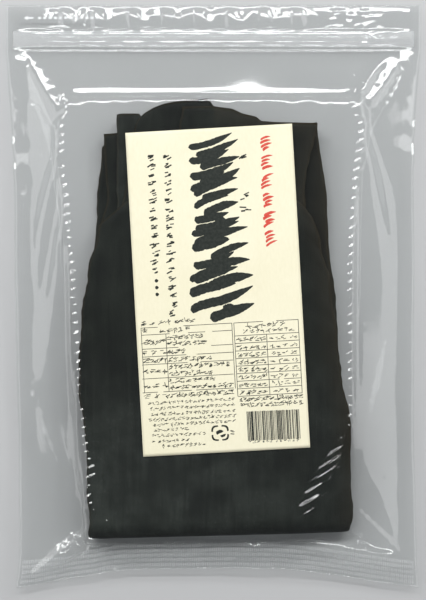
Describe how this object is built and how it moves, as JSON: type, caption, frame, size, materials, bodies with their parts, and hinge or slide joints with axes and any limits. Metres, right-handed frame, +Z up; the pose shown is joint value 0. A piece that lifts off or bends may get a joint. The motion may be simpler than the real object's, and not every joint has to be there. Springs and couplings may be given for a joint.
{
  "type": "bag of dried kelp sheets",
  "caption": "Clear zip-top film bag filled with folded sheets of dried kelp, with a cream paper label on its front, lying flat on its back.",
  "frame": {"origin": "middle of the bag's footprint, at the surface it lies on", "axes": "+X across the bag to the right as its label is read, +Y along the bag from its bottom seal to its header, +Z up off the surface through the label"},
  "size_m": [0.205, 0.288, 0.0162],
  "materials": {
    "film": "clear glossy film",
    "zip_plastic": "clear, slightly milky plastic",
    "label_paper": "smooth uncoated cream paper",
    "kelp": "leathery dried seaweed, dark olive black with a pale bloom",
    "black_ink": "flat black print",
    "red_ink": "flat red print"
  },
  "bodies": {
    "root": {"bag": "film", "zip_strip": "zip_plastic", "label": "label_paper"}
  },
  "joints": []
}
